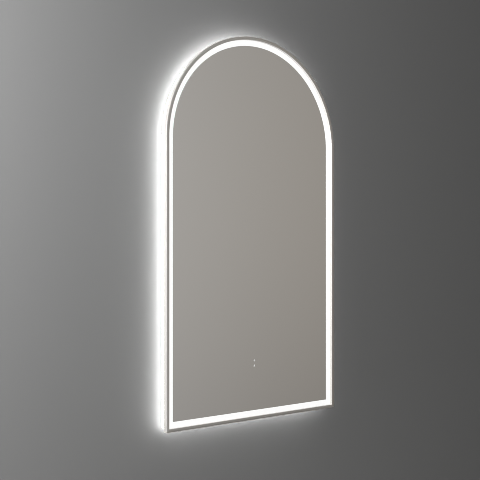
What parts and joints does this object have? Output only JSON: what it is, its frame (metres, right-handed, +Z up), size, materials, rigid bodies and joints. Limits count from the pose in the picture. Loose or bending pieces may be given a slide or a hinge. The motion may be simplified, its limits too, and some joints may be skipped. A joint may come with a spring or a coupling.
{
  "type": "lighted bathroom mirror",
  "caption": "Wall-hung arched mirror with a flat bottom, a slim satin metal frame, a lit band round the pane and a hidden lamp strip that washes the wall behind it.",
  "frame": {"origin": "middle of the wall rail's fixing line, on the wall plane", "axes": "+Z up along the mirror's height, +Y into the wall, so the pane faces -Y"},
  "size_m": [0.5, 0.034, 0.8999],
  "materials": {
    "frame_metal": "satin brushed, warm grey",
    "key_steel": "plain",
    "mirror": "silvered glass",
    "opal_band": "opal acrylic, lit from behind",
    "tape": "closed-cell foam tape",
    "film": "grey polyester film",
    "tray_white": "white powder coat",
    "zinc_steel": "zinc plated",
    "carrier_aluminium": "mill finish",
    "rivet_aluminium": "plain",
    "strip_white": "white flexible circuit",
    "led_phosphor": "phosphor",
    "opal_cover": "opal extrusion, lit from behind",
    "rubber_black": "moulded",
    "plastic_black": "moulded",
    "board_green": "circuit board",
    "copper": "bare copper",
    "clear_plastic": "clear acrylic",
    "heating_film": "printed film",
    "plastic_white": "moulded",
    "plastic_grey": "moulded",
    "brass_screw": "bright",
    "tinned_copper": "tinned",
    "lead_white": "insulated lead",
    "lead_earth": "green and yellow insulation",
    "lead_black": "insulated lead",
    "rail_steel": "galvanised",
    "rubber_grey": "moulded",
    "foam": "foam"
  },
  "bodies": {
    "wall_side": {"wall_rail": "rail_steel"},
    "mirror_body": {"frame_arch": "frame_metal", "frame_bottom_rail": "frame_metal", "corner_keys": "key_steel", "corner_grub_screws": "key_steel", "mirror_pane": "mirror", "light_band": "opal_band", "band_tape": "tape", "pane_tape": "tape", "safety_film": "film", "rear_tray": "tray_white", "tray_screws": "zinc_steel", "led_carrier": "carrier_aluminium", "carrier_rivets": "rivet_aluminium", "front_led_strip": "strip_white", "front_leds": "led_phosphor", "halo_led_strip": "strip_white", "halo_leds": "led_phosphor", "halo_cover": "opal_cover", "halo_lead_grommet": "rubber_black", "touch_housing": "plastic_black", "touch_board": "board_green", "touch_pads": "copper", "icon_light_pipes": "clear_plastic", "demister_pad": "heating_film", "led_driver_case": "plastic_white", "led_driver_lid": "plastic_white", "led_driver_screws": "zinc_steel", "control_case": "plastic_white", "control_lid": "plastic_white", "control_screws": "zinc_steel", "terminal_box": "plastic_grey", "terminal_block": "plastic_white", "terminal_screws": "brass_screw", "access_cover": "tray_white", "access_cover_screws": "zinc_steel", "cable_grommet": "rubber_black", "earth_stud": "brass_screw", "earth_nut": "brass_screw", "earth_ring_terminal": "tinned_copper", "mains_leads": "lead_white", "earth_lead": "lead_earth", "front_strip_lead": "lead_white", "halo_strip_lead": "lead_white", "control_lead": "lead_white", "touch_lead": "lead_black", "demister_lead": "lead_black", "lead_clips": "plastic_white", "hanger_rail": "rail_steel", "hanger_rivets": "rivet_aluminium", "wall_bumpers": "rubber_grey", "foam_spacers": "foam"}
  },
  "joints": [
    {"name": "hang_lift", "type": "slide", "parent": "wall_side", "child": "mirror_body", "axis": [0, 0, 1], "range_m": [0, 0.012]}
  ]
}
